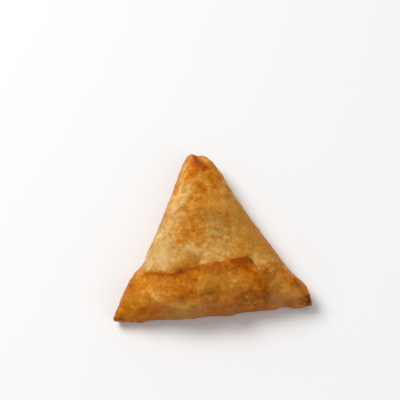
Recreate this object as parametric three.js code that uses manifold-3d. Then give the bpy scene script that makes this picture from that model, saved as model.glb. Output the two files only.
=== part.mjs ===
// A samosa: a flat three-cornered pastry pocket, folded from one strip of dough and baked.
// It lies on its back face. X runs along the base fold, Y from the base fold to the apex and Z up.
//
// The pocket is one triangular sheet of points for its front and one for its back, which meet in the
// folded rim. Over it lie the outer turns of the strip, each one pastry thickness proud: the back
// sheet, which goes round the base fold and ends in the flap on the front, and the tuck, which is
// the flap's left end folded round the left side on to the back.
import * as THREE from "three";
import { mergeVertices } from "three/addons/utils/BufferGeometryUtils.js";
import Module from "manifold-3d";

// Driving dimensions, in millimetres. The left corner is at X = 0 and Y = 0.
const BASE = 95.3; // left corner to right corner, before they are blunted
const ALTITUDE = 89.7; // base fold to apex, before it is blunted
const PASTRY = 1.1; // one sheet of baked dough
const FRONT_RISE = 11.6; // the front face above the folded rim
const DOME = 1.6; // and how much further its middle swells
const MIDDLE_SHARE = 1 / 27; // product of a point's three shares at the middle of a face
const BACK_DROP = 12; // the back face below the folded rim, before the tray flattens it
const RIM_HEIGHT = 7.4; // the folded rim above the tray, half way along a side
const RIM_WAVE = { height: 0.5, length: 8 }; // the rim rises and falls a little along a side
const EDGE_HALF = 1.3; // half the thickness of the pressed layers in the rim
const TRAY_ROUND = 1.2; // rounding where the back leaves the tray
const APEX_TAPER = 0.35; // how much thinner the filled front is towards the apex

// Corners of the sheet: left, right and apex. Each is cut off square to the way it faces, tip in
// from the corner; a small knee makes the cut round and a large one makes it a flat end.
const CORNERS = [
  { at: new THREE.Vector2(0, 0), facing: 200, tip: 0.4, knee: 2, sag: 2.4 },
  { at: new THREE.Vector2(BASE, -0.4), facing: 8, tip: 6.5, knee: 6, sag: 3.4 },
  { at: new THREE.Vector2(42.5, ALTITUDE), facing: 82, tip: 10, knee: 2.5, sag: 0.6 },
];
const SAG_START = 0.55; // a corner's share of a point from which the rim sags towards that corner
// How far the right, left and base side bow out, each a sine series along the side.
const SIDE_BOWS = [
  [-4, -1.6, 0.2, -0.7],
  [-1.5, 0.5, 0.1, 0.3],
  [0.2, 0.5, -0.2, -0.3],
];
// How far in the faces round over from the right, left and base side, and how steeply: 0.5 rounds
// like a wall, 1 like a wedge.
const SHOULDERS = [13, 13, 10];
const STEEPNESS = [0.7, 0.7, 0.5];

// Lattice of each face: rows, and how strongly they gather at the sides.
const ROWS = 56;
const GATHER = 1.4;

// Lumps of filling and blisters in the dough, spread by the golden angle, of uneven size.
const GOLDEN_ANGLE = Math.PI * (3 - Math.sqrt(5));
const UNEVEN_STEP = 1.7;
const SIZE_RANGE = [0.75, 1.25];
const HEIGHT_RANGE = [0.1, 1];
const LUMPS = { count: 14, spread: 36, radius: 8, height: 0.9, turn: 0.4 };
const BLISTERS = { count: 60, spread: 40, radius: 2.2, height: 0.4, turn: 1.1 };

// A browned ridge runs down the front from the open fold at the apex.
const RIDGE = { route: [[44, 68], [42, 58], [37.5, 46], [32, 35], [30, 27]], width: 3.6, height: 0.8 };
const APEX_FOLD = { route: [[42.8, 78], [43.6, 71], [45.5, 66.5]], width: 2.1, height: -1.9 };
// The soft crease in the front wall, where the flap turns over the base fold.
const CREASE = {
  route: [[14, 6], [20, 3], [27, 0.4], [34, 0.2], [40, 1.2], [46, 1.4], [53, 0.2]],
  width: 1.5,
  height: 0.7,
};
const DENT = { route: [[58, 3], [66, 2]], width: 6, height: -0.9 };
const RELIEF_TURN = 0.6; // the front's relief fades where the wall turns this far under

// The flap's free edge, from beyond the left side, to its corner and on down the wall.
const FLAP_LEFT_END = [5.5, 26.5];
const FLAP_CORNER = [61.8, 18.8];
const FLAP_FOOT_END = [74, -9];
const FLAP_EDGE = [
  FLAP_LEFT_END,
  [10.9, 20.8],
  [16.5, 15.6],
  [26.3, 13.3],
  [36.9, 15.5],
  [49, 17.2],
  FLAP_CORNER,
];
const FLAP_RIGHT = [[64.4, 13.4], [68.2, 5.7], [72.4, -1], FLAP_FOOT_END];
const FLAP_LIFT = 0.35; // extra rise of the flap at its free edge
const PRESSED = { from: 49, reach: 20, rest: 0.25 }; // the right edge is pressed flat below its corner
const LOOSE_LEFT = 1.2; // how far the flap bows off the left side
// Back sheet: all of the back left of a line from the base fold to the right side.
const BACK_EDGE = [[74, -9], [74, 0], [84, 20]];
const RIGHT_FADE = 14; // width over which the back sheet sinks into the right side
const SUNK = 1.5; // and how deep it goes there
// Tuck: the flap's end on the back, between the left side and the base fold.
const TUCK = [[-9, -9], [5, -9], [9, 2.5], [31, 4], [12, 24], [4, 29]];
const SPLIT_HEIGHT = 6.2; // the back sheet's raw edge runs along the left side at this height
const FLAP_FOOT = 4.4; // the flap's shape starts at this height on the walls
const MARGIN = 12; // how far cutting shapes reach beyond the pocket

const CURVE_STEPS = 24; // straight pieces in a curved edge or route
const GRAIN = 0.01; // vertices nearer than this are one
const PASTRY_COLOUR = 0xc98f45;

const corner = CORNERS.map((c) => c.at);
const altitude = corner.map((c, i) => {
  const [a, b] = [corner[(i + 1) % 3], corner[(i + 2) % 3]];
  return Math.abs((b.x - a.x) * (c.y - a.y) - (b.y - a.y) * (c.x - a.x)) / a.distanceTo(b);
});
// Outward direction of the side that faces each corner.
const outward = corner.map((c, i) => {
  const [a, b] = [corner[(i + 1) % 3], corner[(i + 2) % 3]];
  return new THREE.Vector2(b.y - a.y, a.x - b.x).normalize();
});
const middle = corner.reduce((sum, c) => sum.add(c), new THREE.Vector2()).divideScalar(3);

const vectors = (pairs) => pairs.map(([x, y]) => new THREE.Vector2(x, y));
const curved = (pairs) => new THREE.SplineCurve(vectors(pairs)).getPoints(CURVE_STEPS);
const smooth = (x) => THREE.MathUtils.smoothstep(x, 0, 1);
const bump = (distance, radius) => Math.exp(-((distance / radius) ** 2));
const uneven = (x) => 0.5 + 0.5 * Math.sin(UNEVEN_STEP * x);

// Three weights that sum to 1, gathered towards the sides: a sheet point's share of each corner.
function gathered(shares) {
  const powers = shares.map((s) => s ** GATHER);
  const sum = powers[0] + powers[1] + powers[2];
  return powers.map((p) => p / sum);
}

// Where a sheet point lies in plan, with the sides bowed and the corners blunted.
function planOf(w) {
  const p = new THREE.Vector2();
  corner.forEach((c, i) => p.addScaledVector(c, w[i]));
  outward.forEach((n, i) => {
    const [a, b] = [w[(i + 1) % 3], w[(i + 2) % 3]];
    const along = a + b > 0 ? b / (a + b) : 0;
    const bow = SIDE_BOWS[i].reduce((sum, size, k) => sum + size * Math.sin((k + 1) * Math.PI * along), 0);
    p.addScaledVector(n, bow * (1 - w[i]) ** 2);
  });
  CORNERS.forEach(({ at, facing, tip, knee }) => {
    const angle = THREE.MathUtils.degToRad(facing);
    const inward = new THREE.Vector2(-Math.cos(angle), -Math.sin(angle));
    const reach = p.clone().sub(at).dot(inward);
    const blunted = (Math.max(reach, 0) ** knee + tip ** knee) ** (1 / knee);
    p.addScaledVector(inward, blunted - reach);
  });
  return p;
}

// How full the pocket is at a sheet point, from 0 on the rim to 1 on the flat of the face.
function fullness(w) {
  const rounded = w.map((share, i) => {
    const left = 1 - Math.min((share * altitude[i]) / SHOULDERS[i], 1);
    return (1 - left * left) ** STEEPNESS[i];
  });
  return rounded[0] * rounded[1] * rounded[2] * (1 - APEX_TAPER * w[2]);
}

// A point of the front sheet, or of the back sheet, before its relief.
function pocketPoint(w, front) {
  const p = planOf(w);
  const full = fullness(w);
  const nearest = Math.min(...w.map((share, i) => share * altitude[i]));
  const pressed = Math.min(nearest / EDGE_HALF, 1);
  const edge = EDGE_HALF * Math.sqrt(pressed * (2 - pressed));
  const sag = CORNERS.reduce((sum, c, i) => sum + c.sag * smooth((w[i] - SAG_START) / (1 - SAG_START)), 0);
  const rim = RIM_HEIGHT - sag + RIM_WAVE.height * Math.sin(p.y / RIM_WAVE.length);
  const dome = (DOME * w[0] * w[1] * w[2]) / MIDDLE_SHARE;
  if (front) return new THREE.Vector3(p.x, p.y, rim + edge + FRONT_RISE * full + dome);
  return new THREE.Vector3(p.x, p.y, rim - edge - BACK_DROP * full);
}

// Height of round bumps that are spread over a face.
function spreadBumps(p, { count, spread, radius, height, turn }) {
  let sum = 0;
  for (let i = 0; i < count; i++) {
    const angle = i * GOLDEN_ANGLE + turn;
    const reach = spread * Math.sqrt((i + 0.5) / count);
    const at = new THREE.Vector2(Math.cos(angle), Math.sin(angle)).multiplyScalar(reach).add(middle);
    const size = radius * THREE.MathUtils.lerp(...SIZE_RANGE, uneven(i + turn));
    sum += bump(p.distanceTo(at), size) * THREE.MathUtils.lerp(...HEIGHT_RANGE, uneven(2 * i - turn));
  }
  return height * sum;
}

// Height of a ridge or groove along a route, which fades out beyond its ends.
function along(p, { route, width, height }) {
  const nearest = Math.min(...curved(route).map((q) => q.distanceTo(p)));
  return height * bump(nearest, width);
}

// The pocket's own relief on its front, as a height above the plain face.
function frontRelief(p) {
  const forms = [RIDGE, APEX_FOLD, CREASE, DENT].reduce((sum, form) => sum + along(p, form), 0);
  return forms + spreadBumps(p, LUMPS) + spreadBumps(p, BLISTERS);
}

// Moves each vertex by offset(point, normal) millimetres along its normal.
function offsetAlongNormals(geometry, offset) {
  const moved = geometry.clone();
  moved.computeVertexNormals();
  const { position, normal } = moved.attributes;
  for (let i = 0; i < position.count; i++) {
    const p = new THREE.Vector3().fromBufferAttribute(position, i);
    const n = new THREE.Vector3().fromBufferAttribute(normal, i);
    p.addScaledVector(n, offset(p, n));
    position.setXYZ(i, p.x, p.y, p.z);
  }
  moved.deleteAttribute("normal");
  return moved;
}

// The tray flattens what would hang below it, with a soft turn where the back leaves it.
function onTray(geometry, height) {
  const position = geometry.attributes.position;
  for (let i = 0; i < position.count; i++) {
    const below = position.getZ(i) - height;
    const turned = (below + TRAY_ROUND) ** 2 / (4 * TRAY_ROUND);
    if (below < TRAY_ROUND) position.setZ(i, height + (below < -TRAY_ROUND ? 0 : turned));
  }
  return geometry;
}

// The closed pocket: both sheets, welded along the rim, with the front's relief.
function pocketGeometry() {
  const points = [];
  const faces = [];
  for (const front of [true, false]) {
    const index = new Map();
    for (let i = 0; i <= ROWS; i++) {
      for (let j = 0; j <= ROWS - i; j++) {
        index.set(`${i},${j}`, points.length / 3);
        const w = gathered([(ROWS - i - j) / ROWS, i / ROWS, j / ROWS]);
        points.push(...pocketPoint(w, front).toArray());
      }
    }
    const at = (i, j) => index.get(`${i},${j}`);
    const add = (a, b, c) => faces.push(...(front ? [a, b, c] : [a, c, b]));
    for (let i = 0; i < ROWS; i++) {
      for (let j = 0; j < ROWS - i; j++) {
        add(at(i, j), at(i + 1, j), at(i, j + 1));
        if (i + j < ROWS - 1) add(at(i + 1, j), at(i + 1, j + 1), at(i, j + 1));
      }
    }
  }
  const geometry = new THREE.BufferGeometry();
  geometry.setAttribute("position", new THREE.Float32BufferAttribute(points, 3));
  geometry.setIndex(faces);
  const welded = mergeVertices(geometry, GRAIN);
  const facingUp = (n) => smooth(n.z + RELIEF_TURN);
  return offsetAlongNormals(welded, (p, n) => frontRelief(new THREE.Vector2(p.x, p.y)) * facingUp(n));
}

// The pocket grown by whole pastry sheets, as the outer turns of the strip lie on it.
function wrapped(pocket, sheets) {
  const [cornerX, cornerY] = FLAP_CORNER;
  const geometry = offsetAlongNormals(pocket, (p, n) => {
    if (n.z > 0 && p.y < cornerY) {
      const belowCorner = smooth(Math.hypot(p.x - cornerX, p.y - cornerY) / PRESSED.reach);
      const nearRight = smooth((p.x - PRESSED.from) / (FLAP_FOOT_END[0] - PRESSED.from));
      const lift = FLAP_LIFT * smooth(p.y / cornerY) * n.z;
      return (sheets * PASTRY + lift) * (1 - (1 - PRESSED.rest) * belowCorner * nearRight);
    }
    const offRight = outward[0].dot(corner[1].clone().sub(p));
    return (sheets * PASTRY + SUNK) * smooth(offRight / RIGHT_FADE) - SUNK;
  });
  const position = geometry.attributes.position;
  for (let i = 0; i < position.count; i++) {
    const q = new THREE.Vector2(position.getX(i), position.getY(i));
    const offLeft = outward[1].dot(corner[0].clone().sub(q));
    const bowed = Math.sin(Math.PI * THREE.MathUtils.clamp(q.y / FLAP_LEFT_END[1], 0, 1));
    position.setX(i, q.x - LOOSE_LEFT * bowed * smooth(1 - offLeft / MARGIN));
  }
  return geometry;
}

// A prism on an outline, from one height to another.
function prism(outline, from, to) {
  const shape = new THREE.Shape(outline);
  const geometry = new THREE.ExtrudeGeometry(shape, { depth: to - from, bevelEnabled: false });
  geometry.translate(0, 0, from);
  geometry.deleteAttribute("normal");
  geometry.deleteAttribute("uv");
  return mergeVertices(geometry, GRAIN);
}

const wasm = await Module();
wasm.setup();

function solid(geometry) {
  const vertProperties = geometry.attributes.position.array;
  const triVerts = new Uint32Array(geometry.index.array);
  return new wasm.Manifold(new wasm.Mesh({ numProp: 3, vertProperties, triVerts }));
}

function geometryOf(manifold) {
  const { numProp, vertProperties, triVerts } = manifold.getMesh();
  const positions = [];
  for (let i = 0; i < vertProperties.length; i += numProp) {
    positions.push(vertProperties[i], vertProperties[i + 1], vertProperties[i + 2]);
  }
  const geometry = new THREE.BufferGeometry();
  geometry.setAttribute("position", new THREE.Float32BufferAttribute(positions, 3));
  geometry.setIndex(new THREE.BufferAttribute(triVerts, 1));
  return geometry;
}

const flapOutline = [
  ...vectors([[-MARGIN, -MARGIN], [FLAP_FOOT_END[0], -MARGIN]]),
  ...curved([...FLAP_RIGHT].reverse()),
  ...curved([...FLAP_EDGE].reverse()),
  new THREE.Vector2(-MARGIN, FLAP_LEFT_END[1]),
];
const backOutline = vectors([
  [-MARGIN, -MARGIN],
  [BACK_EDGE[0][0], -MARGIN],
  ...BACK_EDGE,
  [BACK_EDGE[2][0], ALTITUDE + MARGIN],
  [-MARGIN, ALTITUDE + MARGIN],
]);

const pocket = pocketGeometry();
const core = solid(onTray(pocket.clone(), PASTRY / 2));
const sheet = solid(onTray(wrapped(pocket, 1), 0));
const twoSheets = solid(onTray(wrapped(pocket, 2), 0));
const flapZone = solid(prism(flapOutline, FLAP_FOOT, RIM_HEIGHT + FRONT_RISE + MARGIN));
const backZone = solid(prism(backOutline, -MARGIN, SPLIT_HEIGHT));
const tuckZone = solid(prism(vectors(TUCK), -MARGIN, SPLIT_HEIGHT));
const whole = core
  .add(sheet.intersect(flapZone))
  .add(sheet.intersect(backZone))
  .add(twoSheets.intersect(tuckZone));

const samosa = new THREE.Mesh(
  geometryOf(whole),
  new THREE.MeshStandardMaterial({ color: PASTRY_COLOUR, roughness: 0.55, metalness: 0 }),
);
samosa.name = "samosa";

// The origin is the middle of the underside.
samosa.geometry.computeBoundingBox();
const { min, max } = samosa.geometry.boundingBox;
samosa.position.set(-(min.x + max.x) / 2, -(min.y + max.y) / 2, -min.z);

const part = new THREE.Group();
part.add(samosa);

export default part;
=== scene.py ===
"""A samosa of folded, baked pastry: one closed skin over the solid of the frame.

The skin starts as a flat triangle, cut into a fine lattice, for the front and again for the back.
Where another turn of pastry lies on top, that region is extruded in the flat, row by row, so that its
cut edge has faces of its own. Then every point is moved to its place on the filled pocket. Sizes are
in millimetres on the flat pattern, whose left corner is at X 0 and Y 0, as in the part's source.
"""
import math

import bmesh
import bpy
import numpy as np
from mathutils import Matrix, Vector, noise
from mathutils.geometry import interpolate_bezier


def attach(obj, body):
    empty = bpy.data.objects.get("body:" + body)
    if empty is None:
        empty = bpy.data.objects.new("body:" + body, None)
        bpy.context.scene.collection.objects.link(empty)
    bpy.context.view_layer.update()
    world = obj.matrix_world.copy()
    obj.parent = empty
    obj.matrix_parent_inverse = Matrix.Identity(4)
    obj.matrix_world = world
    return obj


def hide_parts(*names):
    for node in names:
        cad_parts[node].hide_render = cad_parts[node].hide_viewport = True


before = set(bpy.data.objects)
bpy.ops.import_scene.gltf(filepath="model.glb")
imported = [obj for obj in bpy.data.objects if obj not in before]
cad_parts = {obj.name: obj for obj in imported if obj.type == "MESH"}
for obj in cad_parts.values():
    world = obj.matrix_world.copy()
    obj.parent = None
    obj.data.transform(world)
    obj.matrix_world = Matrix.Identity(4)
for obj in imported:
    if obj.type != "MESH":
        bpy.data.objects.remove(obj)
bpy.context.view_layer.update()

MM = 0.001
PATTERN_ORIGIN = (43.47, 38.41)  # the part's origin, on the pattern

# --- The pocket ---------------------------------------------------------------------------------
BASE = 95.3
ALTITUDE = 89.7
PASTRY = 1.1
FRONT_RISE = 11.6
DOME = 1.6
MIDDLE_SHARE = 1 / 27  # the three shares multiplied, in the middle
BACK_DROP = 12
RIM_HEIGHT = 7.4
RIM_WAVE = {"height": 0.5, "length": 8}
EDGE_HALF = 1.3  # half the thickness of the folded rim
TRAY_ROUND = 1.2  # how softly the back turns up from the tray
APEX_TAPER = 0.35  # how much flatter the pocket gets towards the apex
# Left, right and apex: where each corner is, the way it faces, how far in it is cut off, how round
# the cut is, and how far the rim sags there.
CORNERS = [
    {"at": (0, 0), "facing": 200, "tip": 0.4, "knee": 2, "sag": 2.4},
    {"at": (BASE, -0.4), "facing": 8, "tip": 6.5, "knee": 6, "sag": 3.4},
    {"at": (42.5, ALTITUDE), "facing": 82, "tip": 10, "knee": 2.5, "sag": 0.6},
]
SAG_START = 0.55  # share of a corner from which the rim sags there
# For the right, left and base sides: the half waves in which the side bows out, how far in from it the
# pocket is full, and how steeply it gets there.
SIDE_BOWS = [[-4, -1.6, 0.2, -0.7], [-1.5, 0.5, 0.1, 0.3], [0.2, 0.5, -0.2, -0.3]]
SHOULDERS = [13, 13, 10]
STEEPNESS = [0.7, 0.7, 0.5]
ROWS = 280
GATHER = 1.4  # how much the rows crowd towards the sides
HALF_CELL = 0.5 / ROWS
TOUCHING = 0.001  # points nearer than this are one
TINY = 1e-9  # keeps a division from failing

# --- The outer turns of the strip ---------------------------------------------------------------
FLAP_LEFT_END = (5.5, 26.5)
FLAP_CORNER = (61.8, 18.8)
FLAP_FOOT_END = (74, -9)
FLAP_EDGE = [
    FLAP_LEFT_END,
    (10.9, 20.6),
    (13.4, 17),
    (16.5, 14.9),
    (22.3, 13.1),
    (26.3, 12.5),
    (30.3, 13.2),
    (36.9, 14.7),
    (43.9, 16.3),
    (48.4, 16.2),
    (54.1, 16.8),
    (60.2, 18.1),
]
FLAP_RIGHT = [(61.6, 17.6), (62.7, 16), (64.4, 13), (68.2, 5.7), (72.4, -1), FLAP_FOOT_END]
FUSED_REACH = 9  # how far from its corner the flap has run into the crust under it
FUSED_SLOPE = 2.2  # how wide the slope beside it is
FUSED_MOST = 0.95  # how high the slope comes up its edge
LEFT_JOIN = (11.5, 20)  # where the flap's free edge has run into the left side
LEFT_JOIN_REACH = 3
LOOSE_LEFT = 1.9  # how far the flap stands off the left side
LOOSE_UP_TO = 22.5
LOOSE_REACH = 12
LEFT_TURN = 20.6  # where the flap's free edge goes round the left side
BACK_EDGE = [(76, 4), (84, 20), (94, 40)]
RIGHT_FADE = 14  # how far in from the right side the flap has its full thickness
RAW_EDGE_INSET = 2.9  # the back sheet's raw edge, in from the left side
# The flap's end, tucked round the left corner on to the back.
TUCK = [(-9, -9), (10, -9), (13, 2.5), (31, 4), (12, 24), (4, 29)]
SPLIT_HEIGHT = 6.2  # the tuck lies below this
TUCK_STEP = 0.7
TUCK_TURN = 3
MARGIN = 12  # how far past the pocket the outlines of the turns reach
FLAP_LIFT = 0.35  # how far the free edge stands off
# Where the corners are drawn out and the base fold is fuller: middle, reach and move.
TUGS = [
    ((-2, -1), 5, (-1.5, -0.7, 0)),
    ((89, -2), 3.2, (0.6, 0.2, 0)),
    ((86.5, 8.5), 4.2, (0.8, 0.4, 0)),
    ((83.5, -2.5), 3.6, (0, -1.5, 0)),
    ((9.5, -3), 4.5, (0, -1, 0)),
    ((49, -3), 4.5, (0, -0.8, 0)),
    ((55.5, -3), 4.5, (0, -0.9, 0)),
    ((62, -3), 4.5, (0, -0.9, 0)),
    ((68.5, -3), 4.5, (0, -0.7, 0)),
]

# --- Relief --------------------------------------------------------------------------------------
GOLDEN_ANGLE = math.pi * (3 - math.sqrt(5))  # turns each next bump into the widest gap
UNEVEN_STEP = 1.7  # from one bump's size to the next
SIZE_RANGE = (0.75, 1.25)
HEIGHT_RANGE = (0.1, 1)
LUMPS = {"count": 14, "spread": 36, "radius": 8, "height": 0.9, "turn": 0.4}
RIDGE = {"route": [(44, 68), (42, 58), (37.5, 46), (32, 35), (30, 27)], "width": 3.6, "height": 0.5}
APEX_FOLD = {"route": [(42.8, 78), (43.6, 71), (45.5, 66.5)], "width": 2.1, "height": -1.9}
CREASE = {
    "route": [(14, 6), (20, 3), (27, 0.4), (34, 0.2), (40, 1.2), (46, 1.4), (53, 0.2)],
    "width": 0.9,
    "height": 1.1,
}
SECOND_CREASE = {"route": [(43, 2), (48, 1.2), (53, 0.6)], "width": 0.8, "height": 0.6}
DOG_EAR = {"route": [(56.7, 13.5), (60.3, 11.6), (64.2, 9.7)], "width": 0.7, "height": -0.6}
DENT = {"route": [(58, 3), (66, 2)], "width": 6, "height": -0.9}
RELIEF_TURN = 0.6  # how far round the rim the front's relief goes
BLISTERS = {"count": 60, "spread": 40, "radius": 2.2, "height": 0.4, "turn": 1.1}
# Small blisters: size of the cells they are spread in and their place in the noise, their height and
# how much paler they are.
SMALL_BLISTERS = [
    {"size": 3.6, "place": 0.5, "rise": 0.5, "paler": 0.2},
    {"size": 2.1, "place": 0.34, "rise": 0.34, "paler": 0.24},
]
CELL_BORDER = 0.55  # how wide the slope at a cell's border is
CELL_SPREAD = 7.3  # gives each cell a number of its own
BLISTER_CROWD = {"size": 14, "place": 3.1, "octaves": 2}  # where there are more and fewer of them
CROWD_SHARES = (0.4, 1)
# The cut edge of a sheet, from under it to its top: (out from the cut, share of the thickness).
CUT_EDGE = [(-0.55, 0.05), (-0.6, 0.35), (0.05, 0.3), (0.2, 0.65), (0, 1)]
CURVE_STEPS = 12

# --- Baking --------------------------------------------------------------------------------------
# How browned the crust is, from 0 for pale to 1 for burnt. The core is what shows of the pocket beside
# the flap. A drift is a soft uneven change: size of its regions, place in the noise and strength.
CORE_BAKE = 0.42
FLAP_BAKE = 0.58
BACK_BAKE = 0.46
CORE_DRIFT = {"size": 4, "place": 6.6, "change": 0.5}
EDGE_DRIFT = {"size": 7, "place": 8.3, "change": 0.4}
BACK_DRIFT = {"size": 17, "place": 4.4, "change": 0.3}
HUE_DRIFT = {"size": 4, "place": 9.4, "change": 0.007}
RIM_BLEND = 5  # how far in from the rim the back takes over the browning of the front
# Routes that more than one stroke follows: below the crease, where its folds get a painted highlight,
# and down the pocket's right shoulder.
CREASE_HIGHLIGHT_LEFT = [(16.8, 3.6), (20.5, 1.1), (25, -0.7), (30.7, -1.8), (34.5, -1.3), (39.4, -0.6)]
CREASE_HIGHLIGHT_RIGHT = [(40.3, -1), (44.9, -0.9), (50.4, -1.4), (55.9, 0)]
RIGHT_SHOULDER = [(52.4, 54.1), (59.4, 40.4), (66.6, 26.3), (72.7, 16.3)]
# Strokes of browning on the core and on the flap: change, width and route.
CORE_STROKES = [
    # The apex.
    (-0.12, 1.8, [(46.2, 72.1), (46.7, 68.9)]),
    (0.2, 2.5, [(38, 63), (40.5, 70), (41.5, 74.5)]),
    (-0.1, 2.5, [(35.5, 64), (37.5, 69)]),
    (0.2, 3, [(47.5, 69), (48, 63), (50, 58.5)]),
    (0.08, 2.5, [(39, 63.5), (38.5, 57)]),
    # The upper half.
    (0.14, 2, [(44, 57), (42.5, 52)]),
    (-0.22, 2.4, [(33.5, 50.5), (37, 55.5)]),
    (-0.08, 2.5, [(28.5, 48.5), (32, 55.5)]),
    (0.1, 3, [(33, 47), (34, 42.5)]),
    (-0.18, 3.2, [(27.5, 40.5), (30.5, 47.5)]),
    (0.12, 3, [(44, 46), (48, 41.5)]),
    (-0.15, 2.7, [(35.5, 43), (37.5, 40)]),
    # The lower half.
    (0.16, 3, [(38.5, 40.5), (41, 35.5)]),
    (0.05, 3, [(41.5, 38), (44.5, 37.5)]),
    (0.12, 2.2, [(37.5, 43), (35.5, 38), (31.5, 30)]),
    (-0.13, 3.5, [(44.5, 37.5), (48.5, 32.5)]),
    (-0.12, 0.9, RIGHT_SHOULDER),
    (-0.05, 4, [(44.5, 35), (54, 30)]),
    (0.06, 2.5, [(29, 35.5), (30, 29)]),
    (-0.14, 3.5, [(16.5, 21.5), (20.5, 30), (23.5, 38.5)]),
    (0.12, 2.5, [(38.5, 31.5), (40.5, 27)]),
    (0.07, 7, [(60.5, 34.5), (64.5, 23.5)]),
    (0.07, 4, [(60, 44), (66, 32), (71.5, 21), (76, 14)]),
    (-0.2, 6, [(21, 23), (25, 31.5)]),
    (-0.06, 3, [(37, 27), (42.5, 27.5)]),
    (-0.12, 2, [(35, 28.5), (38, 23.5)]),
    (-0.08, 4, [(24, 25), (41.5, 23), (52, 23.5)]),
    # Beside the flap's free edge.
    (-0.14, 3.5, [(17, 21), (23, 18.5)]),
    (-0.1, 3.5, [(43, 19.5), (49, 20)]),
    (0.14, 1.6, [(32.8, 17.9), (34.6, 19.6)]),
    (0.08, 1.5, [(46.1, 18.2), (51, 17.9), (55.7, 18.2)]),
    (-0.1, 1, [(40.1, 17.2), (43.6, 17.7)]),
    (-0.12, 1.1, [(15, 18.5), (20.2, 16.1), (25, 15.9)]),
    # The right corner.
    (-0.16, 3, [(64, 17), (67, 14.5)]),
    (0.16, 2, [(74, 14), (75.5, 12.5)]),
    (0.08, 3, [(65, 8.5), (69, 8), (72, 5.5)]),
    (0.1, 3, [(69, 10.5), (70.5, 4.5), (70, 0.5)]),
    (-0.08, 3, [(72.5, 4), (75.5, 5)]),
    (0.33, 2.6, [(82, 6), (83.5, 3)]),
    (0.14, 3, [(77, 5), (84, 3)]),
    (-0.06, 3.5, [(72, 3), (77.5, 2.5)]),
    (0.12, 4, [(63, 1), (74, 0)]),
    (0.07, 2.5, [(67, 0.5), (73, 0)]),
    (0.26, 2.6, [(85.5, -0.5), (87, -0.5)]),
    (0.2, 1.6, [(72.5, -1), (81.6, -1)]),
]
FLAP_STROKES = [
    # Along the free edge.
    (-0.1, 2, [(12.5, 18), (10.5, 13.5)]),
    (0.16, 2.6, [(57, 14.5), (61, 14.5)]),
    (0.14, 3.5, [(42.5, 12.5), (50, 13), (54, 13)]),
    (0.07, 3.2, [(16.5, 12), (27.5, 10.5), (36.5, 13), (44, 13), (53, 13.5)]),
    (0.04, 3, [(3, 5.5), (5, 10), (8, 13)]),
    # The left corner.
    (-0.05, 3, [(6.5, 3), (10.5, 4.5)]),
    (-0.1, 5, [(11, 2.5), (15.5, 3.5)]),
    (0.08, 3, [(3.5, 0.5), (8.5, 1)]),
    (0.16, 1.2, [(0.2, -1.1), (2, -1.4)]),
    # The base fold.
    (0.14, 4, [(54.5, -1), (66, 0)]),
    (0.08, 3, [(40, -1.5), (47, -2), (56, -1)]),
    (0.1, 2.4, [(10.5, -1), (18.5, -2), (24, -2)]),
    (-0.26, 1.8, [(26.4, -1.3), (33.5, -2.1)]),
    (0.06, 2, [(21, -1), (34.5, -2.5)]),
    # The middle.
    (0.06, 3, [(45.5, 10.5), (48, 4)]),
    (-0.05, 5, [(20.5, 8), (26, 6)]),
    (-0.12, 4.5, [(53.5, 6), (56, 3.5), (59, 2.5)]),
    (-0.04, 2, [(17.5, 4.5), (18.5, 2.5)]),
    (0.12, 2.2, [(40.5, 3.5), (42.5, 3.5)]),
    (0.12, 3, [(28.5, 3.5), (33, 1), (40.5, 1.5), (47, 2.5)]),
    (0.05, 2, [(25.5, 1.5), (32, 0.5)]),
    # Beside the right corner.
    (0.08, 3.6, [(63, 7), (67.5, 4), (69, 2)]),
    (0.08, 3, [(69.5, 1.5), (71.5, -0.5)]),
    (0.07, 2.5, [(65.5, 0), (71.5, 0)]),
]
# Strokes that wander less.
FIRM_CORE_STROKES = [
    # The apex's notch: browned crust, with painted shade in its groove.
    (0.5, 1.6, [(42, 76.9), (43.8, 71.6), (45.5, 67.8)]),
    (0.14, 1.4, [(40.6, 66.6), (40.8, 71.1)]),
    (0.22, 1, [(42.6, 68.4), (42, 64.5), (40.7, 62.9)]),
    (0.15, 1.1, [(41.4, 58.6), (41.5, 56.8)]),
    (0.18, 1.1, [(44.1, 56), (44.2, 53.3)]),
    (0.18, 1.1, [(42.4, 51.1), (41.5, 49.7)]),
    (-0.08, 1.2, [(26.6, 15.9), (30.5, 16.7)]),
    (0.2, 1.3, [(28.3, 14.4), (30.7, 14.7), (34.2, 16.3), (38.3, 17.1)]),
    (0.22, 0.9, [(16.1, 16.1), (20.1, 14.7), (23.6, 14), (27.5, 14.4)]),
]
FIRM_FLAP_STROKES = [
    (0.22, 1.5, [(54.4, 16.3), (58.2, 16.6), (61.1, 17.1)]),
    (0.14, 1.2, [(61.8, 16.6), (63, 14.3)]),
    (0.12, 2, [(58.5, 14.5), (61, 13.5)]),
    (0.14, 0.8, [(57.4, 13.9), (60.9, 11.9), (64.3, 9.9)]),
    (-0.14, 1, [(62.8, 12.2), (63.4, 10.8)]),
    (0.08, 1.2, [(64.3, 9.9), (65.4, 6.6), (69, 3.3)]),
    # Painted highlight below the crease, paler and lighter.
    (-0.16, 0.8, CREASE_HIGHLIGHT_LEFT),
    (-0.1, 0.7, CREASE_HIGHLIGHT_RIGHT),
]
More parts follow.
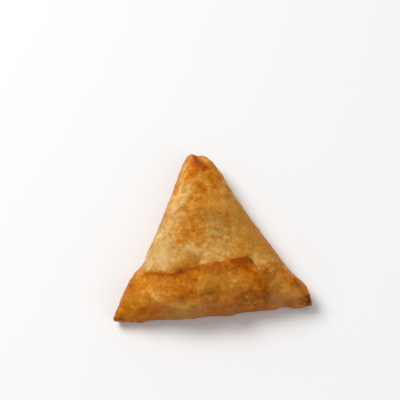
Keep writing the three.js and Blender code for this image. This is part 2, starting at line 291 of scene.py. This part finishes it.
# Where the crust is rosy or olive: share of that tint, width and route.
ROSY_STROKES = [
    (0.4, 1, RIGHT_SHOULDER[:-1]),
    (0.25, 5, [(58, 46), (65.5, 29.5), (72.5, 18.5)]),
    (0.3, 3, [(83.5, 2.5), (85, 1)]),
    (0.8, 3, [(71.5, -0.5), (82, 0)]),
    (0.3, 4, [(51.5, -2), (65, -0.5)]),
    (0.3, 4, [(36, -2), (39, -2)]),
    (0.22, 4.5, [(44, -2), (49.5, -2)]),
    (0.65, 3.8, [(22, -1.5), (33, -3), (39, -2.5)]),
]
OLIVE_STROKES = [
    (0.18, 8, [(44.5, 46.5), (50.5, 31.5)]),
    (0.5, 6, [(56.5, 46), (63.5, 26.5)]),
    (0.4, 5, [(18.5, 28), (21.5, 33.5)]),
    (0.3, 6, [(21.5, 23), (37, 20.5)]),
    (0.5, 4.5, [(40, 6.5), (51.5, 8)]),
    (0.4, 3, [(71, 7), (73, 6)]),
    (0.4, 2, [(26.5, -1.5), (32, -2)]),
]
# Where small blisters are missing: share of them, width and route.
EVEN_STROKES = [
    (0.5, 9, [(11.2, 3.2), (25.0, 6.0)]),
    (0.4, 5, [(76.0, 2.5), (81.5, 3.4)]),
    (0.5, 5, [(42.4, 24.8), (55.9, 23.9)]),
    (1, 6, [(42.7, 70.8), (44.4, 63.8)]),
    (0.6, 9, [(55.6, 40.5), (65.7, 21.4)]),
    (0.6, 6, [(32.1, 53.2), (38.6, 61.8)]),
]
# Where the crust is painted darker as shade, or lighter below 0 as painted light, with the right tip
# partly burnt crust: share of its brightness, width and route.
SHADE_AND_LIGHT_STROKES = [
    # The apex.
    (-0.1, 2, [(42.5, 75), (45, 69)]),
    (-0.12, 3, [(36, 64), (37.5, 69)]),
    (0.08, 3, [(39.5, 64.5), (39, 56)]),
    # The pocket's face.
    (-0.1, 2.5, [(29.5, 50), (33, 56.5)]),
    (-0.07, 3, [(52.5, 51.5), (54, 48.5)]),
    (-0.08, 3, [(40.5, 50), (42.5, 49)]),
    (-0.1, 3, [(38.5, 49), (40, 46)]),
    (0.06, 2.5, [(32.5, 45), (35.5, 46.5)]),
    (0.08, 3.5, [(23, 40.5), (29, 41.5)]),
    (0.05, 4, [(30.5, 44.5), (33.5, 37)]),
    (0.07, 4, [(49.5, 41), (57, 37.5)]),
    (0.05, 3, [(43, 39.5), (46.5, 36.5)]),
    (0.22, 4, [(44, 42.5), (51, 38), (55.5, 33), (50.5, 33)]),
    (0.12, 3, [(39, 39.5), (40, 28)]),
    (-0.1, 5, [(18.5, 28), (24.5, 37)]),
    (0.07, 3, [(23, 29), (27.5, 31.5)]),
    (0.14, 3.5, [(47.5, 30.5), (51.5, 22)]),
    (0.05, 4, [(51, 28.5), (56, 24)]),
    (0.05, 4, [(29, 25.5), (33.5, 25.5)]),
    (0.18, 4, [(61, 26.5), (63, 21.5), (61, 17)]),
    # The right corner.
    (0.14, 2.5, [(66.5, 9.5), (72, 12)]),
    (0.25, 3.5, [(70, 9.5), (72, 6)]),
    (0.1, 4, [(64, 6), (70, 2.5)]),
    (-0.09, 3, [(81.5, 5), (83, 3)]),
    (0.04, 3, [(69, 5), (70.5, 1)]),
    (-0.12, 3, [(73.5, 4), (79, 2)]),
    (-0.09, 3, [(72.5, 3.5), (73.5, 2)]),
    (0.1, 3, [(80, 3), (82.5, 2.5)]),
    (-0.18, 3, [(79.5, 1), (83.5, 1)]),
    (-0.22, 2.5, [(83.5, 1), (83.5, 0)]),
    (0.6, 1.2, [(87.4, 0.8), (88, -0.8)]),
    (0.22, 1.8, [(86.1, 0.4), (86.7, -0.9)]),
    (0.3, 1.4, [(78, -0.2), (85.1, -1)]),
    (0.12, 0.9, [(76.2, -0.2), (85.2, -1.4)]),
    # Beside and on the free edge.
    (0.2, 3, [(30, 14), (34, 17), (37.5, 19)]),
    (-0.08, 2.5, [(40.5, 14), (45, 14)]),
    (0.04, 3, [(30.5, 13.5), (35, 13)]),
    (0.07, 4, [(44, 12.5), (53, 13)]),
    (-0.06, 2.5, [(57, 13), (61.5, 12)]),
    (0.08, 3, [(16.5, 12.5), (30, 9.5), (38.5, 9)]),
    (-0.05, 3, [(59.5, 12), (60.5, 8)]),
    (0.16, 3, [(3.5, 5.5), (5.5, 12.5)]),
    # The flap.
    (-0.1, 3, [(33.5, 9), (37.5, 8)]),
    (0.08, 4, [(46.5, 12), (47, 5)]),
    (0.07, 3.5, [(31, 9.5), (31, 6)]),
    (0.06, 3, [(4, 9.5), (5.5, 4)]),
    (0.1, 4, [(59, 7.5), (63, 5.5)]),
    (-0.08, 5, [(53.5, 5.5), (57, 3)]),
    (-0.1, 4, [(11, 2.5), (23.5, 2.5)]),
    (-0.1, 3, [(30, 2.5), (31.5, 2)]),
    (0.07, 2.5, [(17, 2), (18.5, 0.5)]),
    # The base fold.
    (0.14, 3, [(31.5, 1), (41.5, 0.5)]),
    (-0.14, 0.9, CREASE_HIGHLIGHT_LEFT),
    (0.13, 3.7, [(58.5, 0), (59.5, 0)]),
    (0.14, 3.5, [(54.5, -0.5), (62.5, 0)]),
    (0.08, 4, [(44, -1), (62, 0)]),
    (-0.1, 2.5, [(62, -0.5), (69, -0.5)]),
    (0.08, 1.2, [(37.8, -0.3), (42.2, -1.2)]),
    (-0.12, 0.8, CREASE_HIGHLIGHT_RIGHT),
    (-0.06, 2, [(19.5, -0.5), (23.5, -2)]),
    (-0.05, 4, [(39.5, -2), (58, -0.5)]),
    (0.08, 1.2, [(45.7, -1.6), (52.2, -2.2)]),
    (0.12, 1.6, [(9.5, -1.7), (23.9, -2.4)]),
    (0.1, 1.6, [(26.6, -2.4), (35.4, -2.6)]),
]
# Browning of the flap's free edge, with painted shadow along it: change, width and route before the
# pastry's thickness is added.
EDGE_BROWN_AND_SHADOW_STROKES = [
    (0.22, 1.2, FLAP_EDGE[3:8]),
    (0.12, 1.2, FLAP_EDGE[5:7]),
    (0.06, 1.1, FLAP_EDGE[8:10]),
    (0.2, 1.2, FLAP_EDGE[10:]),
]
EDGE_BACK = 0.5  # how far in from the edge its darkest line is
EDGE_SHADOW_ON_CORE = 1.3  # share of that darkening on the crust beside the flap, painted as the edge's shadow
CUT_BROWN = 0.14  # browner where the pastry was cut
# How far the strokes wander from their routes, and the firm strokes less.
WARP = {"size": 4.5, "places": (1.7, 5.2), "reach": 1.4, "firm_reach": 0.5}
BLOTCHES = [(9, 0.05), (3.4, 0.14), (1.5, 0.12)]  # size and strength
CORE_BLOTCHES, FLAP_BLOTCHES = 0.8, 0.5  # share of that on the core and on the flap
FUSED = [(66.3, 9.2), (68.2, 5.7), (72.4, -1), (73, -4)]  # where the flap has run into the crust
FUSED_WIDTH = 2.2
DARKEST = 0.92  # the most browning
SHADE = (0.75, 1.1)  # how much darker the brown blotches are, on the core and on the flap
BURNT_FROM, BURNT_OVER = 0.6, 0.2  # from where on the crust is evener, and over how much browning
BURNT_EVEN = 0.6  # how much evener it gets
SPECKLE = 0.5  # browning of the finest specks
TRAY_BROWN_AND_SHADE = 0.2  # browner near the tray: browning where the crust lay on it, and painted contact shade
TRAY_BROWN_AND_SHADE_UP_TO = 1.3
MIDDLE_HUE = 0.5  # leaves the colour as it is
# The crust's colour as it browns, and its tints.
BAKE_STOPS = [
    (0, (0.68, 0.455, 0.195)),
    (0.18, (0.63, 0.375, 0.13)),
    (0.36, (0.57, 0.265, 0.047)),
    (0.52, (0.55, 0.185, 0.012)),
    (0.66, (0.51, 0.14, 0.003)),
    (0.82, (0.38, 0.088, 0.001)),
    (1, (0.2, 0.036, 0.001)),
]
ROSY_TINT = (0.47, 0.185, 0.042)
OLIVE_TINT = (0.44, 0.22, 0.03)

CORNER_AT = np.array([c["at"] for c in CORNERS], float)
CENTRE = CORNER_AT.mean(0)


def side_of(i):
    """The two corners of the side that faces corner i."""
    return CORNER_AT[(i + 1) % 3], CORNER_AT[(i + 2) % 3]


def outward_of(i):
    """The way straight out of that side."""
    (ax, ay), (bx, by) = side_of(i)
    normal = np.array([by - ay, ax - bx])
    return normal / np.linalg.norm(normal)


OUTWARD = [outward_of(i) for i in range(3)]
ALTITUDES = np.array([(side_of(i)[0] - CORNER_AT[i]) @ OUTWARD[i] for i in range(3)])


def smooth(x):
    """Goes softly from 0 to 1."""
    x = np.clip(x, 0, 1)
    return x * x * (3 - 2 * x)


def bump(distance, radius):
    """1 in the middle, falling softly to 0."""
    return np.exp(-((distance / radius) ** 2))


def curved(points):
    """A smooth line through points, as close points on it."""
    points = np.array(points, float)
    ends = np.vstack([2 * points[0] - points[1], points, 2 * points[-1] - points[-2]])
    line = []
    for before, start, end, after in zip(ends, ends[1:], ends[2:], ends[3:]):
        handles = start + (end - before) / 6, end - (after - start) / 6
        knots = [Vector((*p, 0)) for p in (start, *handles, end)]
        line += [p[:2] for p in interpolate_bezier(*knots, CURVE_STEPS)[:-1]]
    return np.array([*line, points[-1]])


def distance_to(p, line):
    """How far each point is from a line of points."""
    nearest = np.full(len(p), np.inf)
    for a, b in zip(line, line[1:]):
        step = b - a
        along = np.clip((p - a) @ step / max(step @ step, TINY), 0, 1)
        nearest = np.minimum(nearest, np.linalg.norm(p - a - along[:, None] * step, axis=1))
    return nearest


def outside_of(p, outline):
    """How far each point is outside a closed outline, negative inside it."""
    closed = np.vstack([outline, outline[:1]])
    inside = np.zeros(len(p), bool)
    for (ax, ay), (bx, by) in zip(closed, closed[1:]):
        if ay != by:
            crosses = (p[:, 1] < ay) != (p[:, 1] < by)
            inside ^= crosses & (p[:, 0] < ax + (p[:, 1] - ay) * (bx - ax) / (by - ay))
    return np.where(inside, -1, 1) * distance_to(p, closed)


def plan_of(w):
    """Where points lie in plan, from their shares of the three corners."""
    p = w @ CORNER_AT
    for i, bows in enumerate(SIDE_BOWS):
        a, b = w[:, (i + 1) % 3], w[:, (i + 2) % 3]
        along = b / np.maximum(a + b, TINY)
        bow = sum(size * np.sin((k + 1) * np.pi * along) for k, size in enumerate(bows))
        p += np.outer(bow * (1 - w[:, i]) ** 2, OUTWARD[i])
    for corner in CORNERS:
        angle = math.radians(corner["facing"])
        inward = -np.array([math.cos(angle), math.sin(angle)])
        reach = (p - corner["at"]) @ inward
        tip, knee = corner["tip"], corner["knee"]
        blunted = (np.maximum(reach, 0) ** knee + tip**knee) ** (1 / knee)
        p += np.outer(blunted - reach, inward)
    return p


def pocket_points(w, front):
    """Points of the filled pocket before its relief, front or back."""
    inset = w * ALTITUDES
    left = 1 - np.minimum(inset / SHOULDERS, 1)
    full = np.prod((1 - left**2) ** STEEPNESS, axis=1) * (1 - APEX_TAPER * w[:, 2])
    pressed = np.minimum(inset.min(1) / EDGE_HALF, 1)
    edge = EDGE_HALF * np.sqrt(pressed * (2 - pressed))
    p = plan_of(w)
    sag = sum(c["sag"] * smooth((w[:, i] - SAG_START) / (1 - SAG_START)) for i, c in enumerate(CORNERS))
    rim = RIM_HEIGHT - sag + RIM_WAVE["height"] * np.sin(p[:, 1] / RIM_WAVE["length"])
    dome = DOME * np.prod(w, axis=1) / MIDDLE_SHARE
    z = np.where(front, rim + edge + FRONT_RISE * full + dome, rim - edge - BACK_DROP * full)
    return np.column_stack([p, z])


def foot_of(outline):
    """An outline that comes in under the base fold, as the flap and the back sheet do."""
    return np.array([(-MARGIN, -MARGIN), (FLAP_FOOT_END[0], -MARGIN), *outline], float)


def outside_flap(w):
    """How far points of the front are outside the flap."""
    right, free = curved(FLAP_RIGHT)[::-1], curved(FLAP_EDGE)[::-1]
    return outside_of(plan_of(w), foot_of([*right, *free, (-MARGIN, FLAP_LEFT_END[1])]))


def outside_back_sheet(w):
    """How far points of the back are outside the back sheet, whose raw edge follows the left side."""
    p = plan_of(w)
    foot = curved(FLAP_RIGHT)[: -CURVE_STEPS - 2 : -1]
    top = ALTITUDE + MARGIN
    outline = foot_of([*foot, *BACK_EDGE, (BACK_EDGE[-1][0], top), (-MARGIN, top)])
    raw_edge = np.minimum(RAW_EDGE_INSET - w[:, 1] * ALTITUDES[1], p[:, 1] - LEFT_TURN)
    return np.maximum(outside_of(p, outline), raw_edge)


# --- The lattice ---------------------------------------------------------------------------------
def closed_lattice():
    """The straight triangle as a fine lattice for the front, mirrored for the back. Its height only
    tells the faces apart: above 0 is the front, below 0 the back and 0 the rim that they share."""
    bm = bmesh.new()
    bm.faces.new([bm.verts.new((*at, 1)) for at in CORNER_AT])
    bmesh.ops.subdivide_edges(bm, edges=bm.edges[:], cuts=ROWS - 1, use_grid_fill=True)
    tips = [v for v in bm.verts if len(v.link_edges) == 2]
    bmesh.ops.delete(bm, geom=tips, context="VERTS")
    bmesh.ops.translate(bm, verts=[v for v in bm.verts if v.is_boundary], vec=(0, 0, -1))
    whole = bm.verts[:] + bm.edges[:] + bm.faces[:]
    bmesh.ops.mirror(bm, geom=whole, axis="Z", merge_dist=TOUCHING)
    bmesh.ops.recalc_face_normals(bm, faces=bm.faces[:])
    bm.verts.index_update()
    return bm


def shares_of(flat):
    """Points' shares of the three corners, gathered towards the sides."""
    level = np.column_stack([flat[:, :2], np.ones(len(flat))])
    shares = np.linalg.solve(np.column_stack([CORNER_AT, np.ones(3)]).T, level.T).T
    shares = np.where(shares < HALF_CELL, 0, shares) ** GATHER
    return shares / shares.sum(1)[:, None]


def outside_sheet(w, front):
    """How far points of either face are outside the outer turn of pastry."""
    return np.where(front, outside_flap(w), outside_back_sheet(w))


def snapped(w, front, edges, rim):
    """Moves the nearest lattice points on to the outer turn's border, so that it can be cut there."""
    f = outside_sheet(w, front)
    a, b = edges[f[edges[:, 0]] * f[edges[:, 1]] < 0].T
    share = f[a] / (f[a] - f[b])
    crossing = w[a] + share[:, None] * (w[b] - w[a])
    # Points of the rim stay on it, so there only an edge along the rim moves its ends.
    first = np.where(rim[a] == rim[b], share < 0.5, rim[b])
    mover = np.where(first, a, b)
    nearest_last = np.argsort(-np.where(first, share, 1 - share))
    moved = w.copy()
    moved[mover[nearest_last]] = crossing[nearest_last]
    return moved


def indices(elements):
    """The points of each edge or face."""
    return np.array([[v.index for v in element.verts] for element in elements])


def marked_lattice():
    """The lattice with the outer turns' faces marked, its points' shares, and which lie on the front."""
    bm = closed_lattice()
    flat = np.array([v.co for v in bm.verts])
    rim, front = flat[:, 2] == 0, flat[:, 2] >= 0
    edges, faces = indices(bm.edges), indices(bm.faces)
    w = snapped(shares_of(flat), front, edges, rim)
    cover = bm.faces.layers.int.new("cover")
    face_front = flat[faces, 2].mean(1) > 0
    for face, f in zip(bm.faces, outside_sheet(w[faces].mean(1), face_front)):
        face[cover] = f < 0
    return bm, cover, w, front


def place(bm, points):
    """Moves the lattice's points and returns the direction each of them faces."""
    for v, point in zip(bm.verts, points):
        v.co = point
    bm.normal_update()
    return np.array([v.normal for v in bm.verts])


# --- Relief --------------------------------------------------------------------------------------
def uneven(x):
    """A number from 0 to 1 that differs from bump to bump."""
    return 0.5 + 0.5 * math.sin(UNEVEN_STEP * x)


def mix(limits, share):
    """What lies that share of the way between two limits."""
    return limits[0] + (limits[1] - limits[0]) * share


def spread_bumps(p, count, spread, radius, height, turn):
    """Height of round bumps that are spread over a face."""
    total = np.zeros(len(p))
    for i in range(count):
        angle = i * GOLDEN_ANGLE + turn
        reach = spread * math.sqrt((i + 0.5) / count)
        at = CENTRE + reach * np.array([math.cos(angle), math.sin(angle)])
        size = radius * mix(SIZE_RANGE, uneven(i + turn))
        total += bump(np.linalg.norm(p - at, axis=1), size) * mix(HEIGHT_RANGE, uneven(2 * i - turn))
    return height * total


def along(p, route, width, height=1):
    """Height of a ridge or groove along a route, which fades out beyond its ends."""
    return height * bump(distance_to(p, curved(route)), width)


def front_relief(p):
    """Height of the folds, dents and bumps of the front."""
    forms = sum(along(p, **form) for form in (RIDGE, APEX_FOLD, CREASE, SECOND_CREASE, DOG_EAR, DENT))
    return forms + spread_bumps(p, **LUMPS) + spread_bumps(p, **BLISTERS)


def cells(points, size, place):
    """How far each point is inside its cell, from 0 at the border, and the cell's number, -1 to 1."""
    found = [noise.voronoi(Vector(p) / size + Vector((place, place, place))) for p in points]
    inside = np.array([d[1] - d[0] for d, _ in found])
    number = np.array([noise.cell(Vector(c[0]) * CELL_SPREAD) for _, c in found])
    return inside, number


def clouds(points, size, place, octaves=3):
    """Soft uneven noise from about -1 to 1."""
    shift = Vector((place, -place, 2 * place))
    return np.array([noise.fractal(Vector(p) / size + shift, 1, 2, octaves) for p in points])


def drift(points, size, place, change):
    """A soft uneven change."""
    return change * clouds(points, size, place)


def small_blisters(points):
    """Height of the small blisters in the dough, more of them in some places, and how pale they are."""
    crowd = mix(CROWD_SHARES, smooth(0.5 + clouds(points, **BLISTER_CROWD)))
    crowd *= 1 - np.minimum(strokes(points[:, :2], EVEN_STROKES), 1)
    height = np.zeros(len(points))
    tone = np.zeros(len(points))
    for kind in SMALL_BLISTERS:
        inside, number = cells(points, kind["size"], kind["place"])
        dome = smooth(inside / CELL_BORDER)
        height += kind["rise"] * dome * np.maximum(number, 0)
        tone += kind["paler"] * dome * number
    return height * crowd, tone * crowd


# --- Baking --------------------------------------------------------------------------------------
def strokes(p, listed):
    """What a list of strokes comes to at each point."""
    return sum(along(p, route, width, change) for change, width, route in listed)


def baking(points, plan, front, over, paler, cut):
    """How browned, rosy and olive each point of the crust is, its hue, how dark and how speckled it is.
    The browning holds some painted shade, and the darkness holds the blotches with painted shade and
    painted light.
    The front's browning goes round the rim, so front falls softly from 1 to 0 on the back. The plan is
    that of the bare pocket, over is true on the flap, paler comes from the small blisters, and cut is
    above 0 on a cut edge."""
    wander = np.column_stack([clouds(points, WARP["size"], place) for place in WARP["places"]])
    p = points[:, :2] + WARP["reach"] * wander
    firm = points[:, :2] + WARP["firm_reach"] * wander
    edge_brown_and_shadow = strokes(plan + WARP["firm_reach"] * wander + (0, EDGE_BACK), EDGE_BROWN_AND_SHADOW_STROKES)
    edge_brown_and_shadow *= 1 + drift(points, **EDGE_DRIFT)
    flap = FLAP_BAKE + strokes(p, FLAP_STROKES) + strokes(firm, FIRM_FLAP_STROKES) + edge_brown_and_shadow
    core = CORE_BAKE + strokes(p, CORE_STROKES) * (1 + drift(points, **CORE_DRIFT))
    core += strokes(firm, FIRM_CORE_STROKES) + EDGE_SHADOW_ON_CORE * edge_brown_and_shadow
    fused = 0.5 * smooth(distance_to(p, curved(FUSED)) / FUSED_WIDTH)
    share = np.where(over, 0.5 + fused, 0.5 - fused)
    back = BACK_BAKE + drift(points, **BACK_DRIFT)
    bake = back + (core + (flap - core) * share - back) * front + CUT_BROWN * cut
    blotches = sum(strength * clouds(points, size, size) for size, strength in BLOTCHES) - paler
    uneven_share = 1 - BURNT_EVEN * smooth((bake - BURNT_FROM) / BURNT_OVER)
    bake += blotches * np.where(over, FLAP_BLOTCHES, CORE_BLOTCHES) * uneven_share
    # Near the tray: browning and painted contact shade.
    bake = np.minimum(bake + TRAY_BROWN_AND_SHADE * bump(points[:, 2], TRAY_BROWN_AND_SHADE_UP_TO), DARKEST)
    return {
        "bake": bake,
        "rosy": front * strokes(p, ROSY_STROKES),
        "olive": front * strokes(p, OLIVE_STROKES),
        "speckle": SPECKLE * uneven_share,
        "hue": MIDDLE_HUE + drift(points, **HUE_DRIFT),
        # Darkness: the blotches, and the strokes of painted shade and painted light.
        "shade": 1 - np.where(over, *SHADE[::-1]) * blotches - front * strokes(firm, SHADE_AND_LIGHT_STROKES),
    }


# --- The pastry ----------------------------------------------------------------------------------
def sheet_thickness(p, normal, off_right):
    """Thickness of the outer turn of pastry, lifted at its free edge, and how far the crust beside the
    flap's right border rises to meet it."""
    thickness = PASTRY + FLAP_LIFT * smooth(p[:, 1] / FLAP_CORNER[1]) * np.maximum(normal[:, 2], 0)
    below_corner = smooth(np.linalg.norm(p - FLAP_CORNER, axis=1) / FUSED_REACH)
    beside = bump(distance_to(p, curved(FLAP_RIGHT)), FUSED_SLOPE) * below_corner
    at_left = bump(np.linalg.norm(p - LEFT_JOIN, axis=1), LEFT_JOIN_REACH)
    thickness *= smooth(off_right / RIGHT_FADE)
    return thickness, FUSED_MOST * thickness * np.maximum(beside, at_left)


def tuck_thickness(p, height, off_left, off_base):
    """How much thicker the left corner's underside is by the end that is tucked there."""
    inside = smooth(-outside_of(p, np.array(TUCK, float)) / TUCK_STEP)
    low = smooth((SPLIT_HEIGHT - height) / TUCK_STEP)
    return PASTRY * inside * low * smooth(np.minimum(off_left, off_base) / TUCK_TURN)


def away_from_sheet(bm, cover):
    """For the points on the outer turn's border, the way out of it along the surface."""
    away = np.zeros((len(bm.verts), 3))
    for edge in bm.edges:
        inner, outer = sorted(edge.link_loops, key=lambda loop: -loop.face[cover])
        if inner.face[cover] > outer.face[cover]:
            start, end = inner.vert, inner.link_loop_next.vert
            across = (end.co - start.co).cross(start.normal)
            away[start.index] += across
            away[end.index] += across
    length = np.linalg.norm(away, axis=1)
    return away / np.maximum(length, TINY)[:, None], length > 0


def extrude_cut_edge(bm, cover):
    """Extrudes the outer turn once for each row of its cut edge, and numbers the rows."""
    row = bm.verts.layers.int.new("row")
    lifted = [face for face in bm.faces if face[cover]]
    for number in range(1, len(CUT_EDGE)):
        grown = bmesh.ops.extrude_face_region(bm, geom=lifted)["geom"]
        bmesh.ops.delete(bm, geom=lifted, context="FACES")
        lifted = [g for g in grown if isinstance(g, bmesh.types.BMFace)]
        for vert in grown:
            if isinstance(vert, bmesh.types.BMVert):
                vert[row] = number
    return row


def on_tray(z, height):
    """The tray flattens what would hang below it, with a soft turn where the back leaves it."""
    below = z - height
    turned = height + (np.maximum(below, -TRAY_ROUND) + TRAY_ROUND) ** 2 / (4 * TRAY_ROUND)
    return np.where(below < TRAY_ROUND, turned, z)


def numbers_of(bm, layer):
    """The numbers that a layer holds, point by point."""
    return np.array([v[layer] for v in bm.verts])


def paint(bm, painted):
    """Stores the crust's values at its points, where the material reads them."""
    for name, values in painted.items():
        layer = bm.verts.layers.float.new(name)
        for v, value in zip(bm.verts, values):
            v[layer] = value


def pastry_skin():
    """The whole samosa as one closed mesh."""
    bm, cover, w, front = marked_lattice()
    points = pocket_points(w, front)
    normal = place(bm, points)
    p = points[:, :2].copy()
    points += normal * (front_relief(p) * smooth(normal[:, 2] + RELIEF_TURN))[:, None]
    normal = place(bm, points)
    away, border = away_from_sheet(bm, cover)
    off_right, off_left, off_base = (w * ALTITUDES).T
    thickness, fused = sheet_thickness(p, normal, off_right)
    thickness += tuck_thickness(p, points[:, 2], off_left, off_base)
    bowed = np.sin(np.pi * np.clip(p[:, 1] / LOOSE_UP_TO, 0, 1)) * smooth(1 - off_left / LOOSE_REACH)

    # Each point of the cut edge's rows starts from the point of the pocket below it.
    point = bm.verts.layers.int.new("point")
    for v in bm.verts:
        v[point] = v.index
    rows = numbers_of(bm, extrude_cut_edge(bm, cover))
    at = numbers_of(bm, point)
    out, share = np.array(CUT_EDGE)[rows].T
    over = rows > 0
    free = (border * (thickness - fused) / PASTRY)[at]
    out *= free
    share = np.where(border[at], share, over)
    raised = fused[at] + share * (thickness - fused)[at]
    skin = points[at] + normal[at] * raised[:, None] + away[at] * out[:, None]
    skin[:, 0] -= LOOSE_LEFT * bowed[at] * over
    blisters, paler = small_blisters(skin)
    skin += normal[at] * blisters[:, None]
    for middle, reach, move in TUGS:
        skin += np.outer(bump(np.linalg.norm(skin[:, :2] - middle, axis=1), reach), move)
    skin[:, 2] = on_tray(skin[:, 2], np.where(over, 0, PASTRY / 2))

    on_flap = np.where(front[at], over, (outside_flap(w) < 0)[at])
    front_share = np.where(front, 1, 1 - smooth((w * ALTITUDES).min(1) / RIM_BLEND))[at]
    paint(bm, baking(skin, p[at], front_share, on_flap, paler, over * free))
    place(bm, (skin - (*PATTERN_ORIGIN, 0)) * MM)
    bmesh.ops.remove_doubles(bm, verts=bm.verts[:], dist=TOUCHING * MM)
    return bm


def make_piece(name, bm, material):
    """A piece of one material, from its mesh."""
    mesh = bpy.data.meshes.new(name)
    bm.to_mesh(mesh)
    bm.free()
    mesh.materials.append(material)
    mesh.shade_smooth()
    piece = bpy.data.objects.new(name, mesh)
    bpy.context.scene.collection.objects.link(piece)
    return piece


# --- Camera, light and floor ---------------------------------------------------------------------
VIEW_ELEVATION = 65
VIEW_AZIMUTH = -4.87
VIEW_DISTANCE = 0.6
VIEW_LENS = 112.5
VIEW_TARGET = Vector((-0.0009, 0.0182, 0.004))
VIEW_CLIP = 0.01
KEY_LIGHT = {"location": (-0.9, 0.7, 1.4), "size": 0.9, "energy": 26.8}
FILL_LIGHT = {"location": (0.5, -0.6, 0.7), "size": 0.8, "energy": 1.6}
SKY_LIGHT = 0.36
FLOOR_HALF = 1.5
FLOOR_GREY = 0.9
FLOOR_ROUGHNESS = 0.8

# --- The crust's finish --------------------------------------------------------------------------
CRUST_ROUGHNESS = 0.46
CRUST_SHEEN = 0.04
SPECKS = {"size": 1.1, "detail": 3}
PORES = {"size": 0.9, "detail": 4}
PORE_STRENGTH = 0.35
PORE_DEPTH = 0.2
NOISE_MIDDLE = 0.5


def make_camera():
    """Looks down on the front from beyond the base fold."""
    elevation, azimuth = math.radians(VIEW_ELEVATION), math.radians(VIEW_AZIMUTH)
    level = math.cos(elevation)
    back = Vector((math.sin(azimuth) * level, -math.cos(azimuth) * level, math.sin(elevation)))
    data = bpy.data.cameras.new("camera")
    data.lens = VIEW_LENS
    data.clip_start = VIEW_CLIP
    camera = bpy.data.objects.new("camera", data)
    camera.location = VIEW_TARGET + back * VIEW_DISTANCE
    camera.rotation_mode = "QUATERNION"
    camera.rotation_quaternion = (-back).to_track_quat("-Z", "Y")
    bpy.context.scene.collection.objects.link(camera)
    bpy.context.scene.camera = camera


def make_light(name, location, size, energy):
    """A soft square light that faces the samosa."""
    data = bpy.data.lights.new(name, "AREA")
    data.size = size
    data.energy = energy
    light = bpy.data.objects.new(name, data)
    light.location = location
    light.rotation_mode = "QUATERNION"
    light.rotation_quaternion = (-Vector(location)).to_track_quat("-Z", "Y")
    bpy.context.scene.collection.objects.link(light)


def make_studio():
    """White light from all round, two soft lights and a pale floor."""
    world = bpy.data.worlds.new("studio")
    world.use_nodes = True
    background = world.node_tree.nodes["Background"]
    background.inputs["Color"].default_value = (1, 1, 1, 1)
    background.inputs["Strength"].default_value = SKY_LIGHT
    bpy.context.scene.world = world
    make_light("key", **KEY_LIGHT)
    make_light("fill", **FILL_LIGHT)
    bpy.context.scene.view_settings.view_transform = "Standard"
    bm = bmesh.new()
    bmesh.ops.create_grid(bm, x_segments=1, y_segments=1, size=FLOOR_HALF)
    paper = bpy.data.materials.new("pale_floor")
    paper.use_nodes = True
    shader = paper.node_tree.nodes["Principled BSDF"]
    shader.inputs["Base Color"].default_value = (FLOOR_GREY, FLOOR_GREY, FLOOR_GREY, 1)
    shader.inputs["Roughness"].default_value = FLOOR_ROUGHNESS
    floor = make_piece("floor", bm, paper)


def ramp(nodes, stops):
    """A node that turns a number into one of a row of colours."""
    node = nodes.new("ShaderNodeValToRGB")
    elements = node.color_ramp.elements
    while len(elements) < len(stops):
        elements.new(0.5)
    for element, (position, colour) in zip(elements, stops):
        element.position = position
        element.color = (*colour, 1)
    return node


def crust_material():
    """Baked crust: its colour from the values painted on the piece, including painted shade and light,
    with fine specks and pores.
    """
    material = bpy.data.materials.new("crust")
    material.use_nodes = True
    nodes, links = material.node_tree.nodes, material.node_tree.links
    shader = nodes["Principled BSDF"]
    shader.inputs["Roughness"].default_value = CRUST_ROUGHNESS
    shader.inputs["Specular IOR Level"].default_value = CRUST_SHEEN
    coordinates = nodes.new("ShaderNodeTexCoord")

    def attribute(name):
        node = nodes.new("ShaderNodeAttribute")
        node.attribute_name = name
        return node.outputs["Fac"]

    def noise_of(size, detail):
        node = nodes.new("ShaderNodeTexNoise")
        node.inputs["Scale"].default_value = 1 / (size * MM)
        node.inputs["Detail"].default_value = detail
        links.new(coordinates.outputs["Object"], node.inputs["Vector"])
        return node.outputs["Fac"]

    def combine(operation, a, b):
        node = nodes.new("ShaderNodeMath")
        node.operation = operation
        for socket, value in zip(node.inputs, (a, b)):
            if isinstance(value, (int, float)):
                socket.default_value = value
            else:
                links.new(value, socket)
        return node.outputs["Value"]

    def tinted(colour, share, tint):
        node = nodes.new("ShaderNodeMix")
        node.data_type = "RGBA"
        links.new(share, node.inputs["Factor"])
        links.new(colour, node.inputs["A"])
        node.inputs["B"].default_value = (*tint, 1)
        return node.outputs["Result"]

    specks = combine("SUBTRACT", noise_of(**SPECKS), NOISE_MIDDLE)
    speckle = combine("MULTIPLY", specks, attribute("speckle"))
    stops = ramp(nodes, BAKE_STOPS)
    links.new(combine("ADD", attribute("bake"), speckle), stops.inputs["Fac"])
    colour = tinted(stops.outputs["Color"], attribute("rosy"), ROSY_TINT)
    colour = tinted(colour, attribute("olive"), OLIVE_TINT)
    shaded = nodes.new("ShaderNodeHueSaturation")
    links.new(attribute("hue"), shaded.inputs["Hue"])
    # The brightness holds the blotches and the painted shade and light.
    links.new(attribute("shade"), shaded.inputs["Value"])
    links.new(colour, shaded.inputs["Color"])
    links.new(shaded.outputs["Color"], shader.inputs["Base Color"])
    pores = nodes.new("ShaderNodeBump")
    pores.inputs["Strength"].default_value = PORE_STRENGTH
    pores.inputs["Distance"].default_value = PORE_DEPTH * MM
    links.new(noise_of(**PORES), pores.inputs["Height"])
    links.new(pores.outputs["Normal"], shader.inputs["Normal"])
    return material


make_camera()
make_studio()
samosa = make_piece("samosa_pastry", pastry_skin(), crust_material())
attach(samosa, "root")
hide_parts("samosa")
